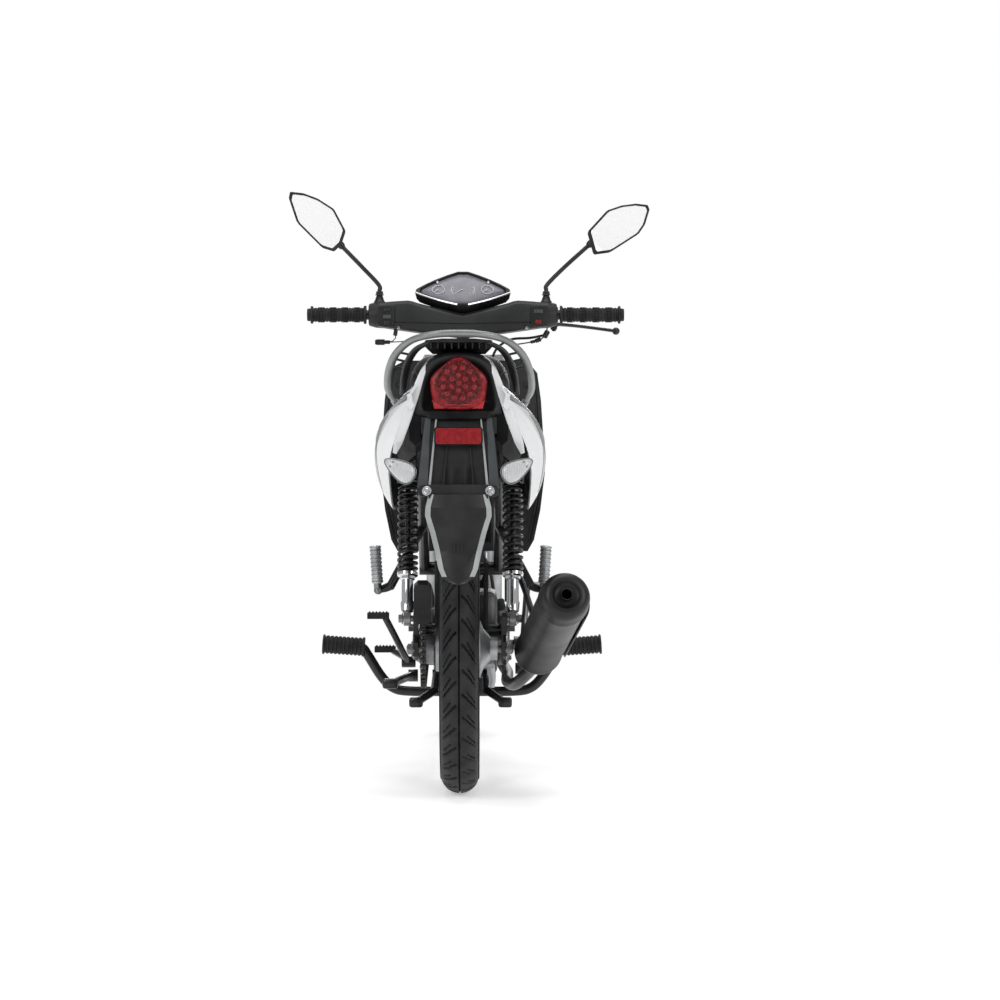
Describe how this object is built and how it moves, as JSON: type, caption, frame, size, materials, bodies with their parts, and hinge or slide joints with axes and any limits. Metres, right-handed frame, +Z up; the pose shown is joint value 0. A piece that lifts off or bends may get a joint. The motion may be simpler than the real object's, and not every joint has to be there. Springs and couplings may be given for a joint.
{
  "type": "moped scooter",
  "caption": "Step-through moped scooter with an underbone frame, spoked cast wheels, twin rear shocks, white body panels, a black seat and a side muffler.",
  "frame": {"origin": "on the ground under the middle of the rear tyre", "axes": "+X to the rider's right, +Y forward, +Z up"},
  "size_m": [0.799, 1.9321, 1.218],
  "materials": {
    "black_paint": "satin",
    "black_plastic": "moulded",
    "grey_plastic": "moulded",
    "red_plastic": "gloss",
    "white_panel": "gloss paint",
    "tyre_rubber": "worn",
    "soft_rubber": "matte",
    "cast_aluminium": "cast satin",
    "steel": "satin",
    "chrome": "polished",
    "red_lens": "moulded lens",
    "clear_lens": "clear moulded lens",
    "seat_vinyl": "grained vinyl"
  },
  "bodies": {
    "chassis": {"frame": "black_paint", "engine_block": "cast_aluminium", "flywheel_cover": "cast_aluminium", "clutch_cover": "cast_aluminium", "fuel_tank": "steel", "exhaust_pipe": "black_paint", "muffler": "black_paint", "footrest_bar": "black_paint", "leg_shield": "black_plastic", "front_cowl": "white_panel", "side_panel_left": "white_panel", "side_panel_right": "white_panel", "tail_housing": "grey_plastic", "tail_light": "red_lens", "grab_rail": "cast_aluminium", "rear_fender": "black_plastic", "indicator_rear_left": "clear_lens", "indicator_rear_right": "clear_lens"},
    "seat_body": {"seat": "seat_vinyl"},
    "front_sprocket_body": {"front_sprocket": "steel"},
    "swingarm_body": {"swingarm": "black_paint", "drive_chain": "steel", "chain_guard": "black_plastic", "rear_axle": "steel"},
    "rear_wheel": {"rear_rim": "cast_aluminium", "rear_tyre": "tyre_rubber", "rear_sprocket": "steel"},
    "shock_upper_left_body": {"shock_upper_left": "black_paint", "shock_spring_left": "black_paint"},
    "shock_lower_left_body": {"shock_lower_left": "chrome"},
    "shock_upper_right_body": {"shock_upper_right": "black_paint", "shock_spring_right": "black_paint"},
    "shock_lower_right_body": {"shock_lower_right": "chrome"},
    "steering": {"fork_crown": "black_paint", "handlebar": "black_paint", "handlebar_cover": "grey_plastic", "instrument_cluster": "black_plastic", "headlight": "clear_lens", "grip_left": "soft_rubber", "front_brake_cable": "soft_rubber"},
    "throttle_body": {"throttle_grip": "soft_rubber"},
    "brake_lever_body": {"brake_lever": "steel"},
    "mirror_left_body": {"mirror_left": "black_plastic"},
    "mirror_right_body": {"mirror_right": "black_plastic"},
    "starter_button_body": {"starter_button": "red_plastic"},
    "horn_button_body": {"horn_button": "grey_plastic"},
    "turn_switch_body": {"turn_switch": "grey_plastic"},
    "fork_slider": {"fork_leg_left": "cast_aluminium", "fork_leg_right": "cast_aluminium", "front_fender": "white_panel", "front_axle": "steel"},
    "front_wheel": {"front_rim": "cast_aluminium", "front_tyre": "tyre_rubber"},
    "brake_pedal_body": {"brake_pedal": "steel"},
    "gear_pedal_body": {"gear_pedal": "steel"},
    "kick_starter_body": {"kick_starter": "chrome"},
    "side_stand_body": {"side_stand": "black_paint"},
    "centre_stand_body": {"centre_stand": "black_paint"},
    "passenger_peg_left_body": {"passenger_peg_left": "black_plastic"},
    "passenger_peg_right_body": {"passenger_peg_right": "black_plastic"}
  },
  "joints": [
    {"name": "steering_turn", "type": "hinge", "parent": "chassis", "child": "steering", "pos_m": [0, 0.946, 0.7], "axis": [0, -0.4462, 0.8949], "range_deg": [-40, 40], "deforming": ["front_brake_cable"]},
    {"name": "fork_travel", "type": "slide", "parent": "steering", "child": "fork_slider", "axis": [0, -0.4462, 0.8949], "range_m": [0, 0.07], "stiffness_N_per_m": 12000, "springref_m": -0.06, "deforming": ["front_brake_cable"]},
    {"name": "front_wheel_spin", "type": "hinge", "parent": "fork_slider", "child": "front_wheel", "pos_m": [0, 1.22, 0.27766], "axis": [1, 0, 0], "continuous": true},
    {"name": "swingarm_pivot", "type": "hinge", "parent": "chassis", "child": "swingarm_body", "pos_m": [0, 0.425, 0.3], "axis": [-1, 0, 0], "range_deg": [0, 8], "stiffness_Nm_per_rad": 1200, "springref_deg": -17.19, "deforming": ["drive_chain"]},
    {"name": "rear_wheel_spin", "type": "hinge", "parent": "swingarm_body", "child": "rear_wheel", "pos_m": [0, 0, 0.28462], "axis": [1, 0, 0], "continuous": true},
    {"name": "front_sprocket_spin", "type": "hinge", "parent": "chassis", "child": "front_sprocket_body", "pos_m": [-0.072, 0.475, 0.29], "axis": [1, 0, 0], "continuous": true},
    {"name": "shock_tilt_left", "type": "hinge", "parent": "chassis", "child": "shock_upper_left_body", "pos_m": [-0.105, 0.105, 0.622], "axis": [-1, 0, 0], "range_deg": [0, 2.1], "deforming": ["shock_spring_left"]},
    {"name": "shock_stroke_left", "type": "slide", "parent": "shock_upper_left_body", "child": "shock_lower_left_body", "axis": [0, 0.308, 0.9514], "range_m": [0, 0.058], "deforming": ["shock_spring_left"]},
    {"name": "shock_tilt_right", "type": "hinge", "parent": "chassis", "child": "shock_upper_right_body", "pos_m": [0.105, 0.105, 0.622], "axis": [-1, 0, 0], "range_deg": [0, 2.1], "deforming": ["shock_spring_right"]},
    {"name": "shock_stroke_right", "type": "slide", "parent": "shock_upper_right_body", "child": "shock_lower_right_body", "axis": [0, 0.308, 0.9514], "range_m": [0, 0.058], "deforming": ["shock_spring_right"]},
    {"name": "seat_hinge", "type": "hinge", "parent": "chassis", "child": "seat_body", "pos_m": [0, 0.47, 0.748], "axis": [-1, 0, 0], "range_deg": [0, 60]},
    {"name": "throttle_twist", "type": "hinge", "parent": "steering", "child": "throttle_body", "pos_m": [0.285, 0.79, 0.969], "axis": [1, 0, 0], "range_deg": [0, 75], "stiffness_Nm_per_rad": 0.3, "springref_deg": -17.19},
    {"name": "brake_lever_squeeze", "type": "hinge", "parent": "steering", "child": "brake_lever_body", "pos_m": [0.202, 0.842, 0.95], "axis": [0, 0, -1], "range_deg": [0, 13], "stiffness_Nm_per_rad": 2, "springref_deg": -11.46},
    {"name": "mirror_left_swivel", "type": "hinge", "parent": "steering", "child": "mirror_left_body", "pos_m": [-0.184, 0.79, 1], "axis": [0, 0, 1], "range_deg": [-30, 30]},
    {"name": "mirror_right_swivel", "type": "hinge", "parent": "steering", "child": "mirror_right_body", "pos_m": [0.184, 0.79, 1], "axis": [0, 0, 1], "range_deg": [-30, 30]},
    {"name": "starter_button_press", "type": "slide", "parent": "steering", "child": "starter_button_body", "axis": [0, 1, 0], "range_m": [0, 0.0025], "stiffness_N_per_m": 800, "springref_m": -0.001},
    {"name": "horn_button_press", "type": "slide", "parent": "steering", "child": "horn_button_body", "axis": [0, 1, 0], "range_m": [0, 0.0025], "stiffness_N_per_m": 800, "springref_m": -0.001},
    {"name": "turn_switch_slide", "type": "slide", "parent": "steering", "child": "turn_switch_body", "axis": [1, 0, 0], "range_m": [-0.003, 0.003]},
    {"name": "brake_pedal_press", "type": "hinge", "parent": "chassis", "child": "brake_pedal_body", "pos_m": [0.12, 0.455, 0.212], "axis": [-1, 0, 0], "range_deg": [0, 10], "stiffness_Nm_per_rad": 10, "springref_deg": -14.32},
    {"name": "gear_pedal_shift", "type": "hinge", "parent": "chassis", "child": "gear_pedal_body", "pos_m": [-0.115, 0.56, 0.218], "axis": [1, 0, 0], "range_deg": [-12, 12], "stiffness_Nm_per_rad": 12},
    {"name": "kick_starter_swing", "type": "hinge", "parent": "chassis", "child": "kick_starter_body", "pos_m": [0.12, 0.5, 0.262], "axis": [1, 0, 0], "range_deg": [0, 70], "stiffness_Nm_per_rad": 3, "springref_deg": -22.92},
    {"name": "side_stand_fold", "type": "hinge", "parent": "chassis", "child": "side_stand_body", "pos_m": [-0.1, 0.415, 0.2], "axis": [1, 0, 0], "range_deg": [0, 95]},
    {"name": "centre_stand_fold", "type": "hinge", "parent": "chassis", "child": "centre_stand_body", "pos_m": [0, 0.385, 0.206], "axis": [1, 0, 0], "range_deg": [0, 80]},
    {"name": "passenger_peg_left_fold", "type": "hinge", "parent": "chassis", "child": "passenger_peg_left_body", "pos_m": [-0.166, 0.165, 0.392], "axis": [0, -1, 0], "range_deg": [0, 85]},
    {"name": "passenger_peg_right_fold", "type": "hinge", "parent": "chassis", "child": "passenger_peg_right_body", "pos_m": [0.166, 0.165, 0.392], "axis": [0, 1, 0], "range_deg": [0, 85]}
  ],
  "couplings": [
    {"joint": "front_sprocket_spin", "follows": "rear_wheel_spin", "ratio": 2.64},
    {"joint": "shock_tilt_left", "follows": "swingarm_pivot", "ratio": 0.25},
    {"joint": "shock_stroke_left", "follows": "swingarm_pivot", "m_per_rad": 0.4063},
    {"joint": "shock_tilt_right", "follows": "swingarm_pivot", "ratio": 0.25},
    {"joint": "shock_stroke_right", "follows": "swingarm_pivot", "m_per_rad": 0.4063}
  ]
}
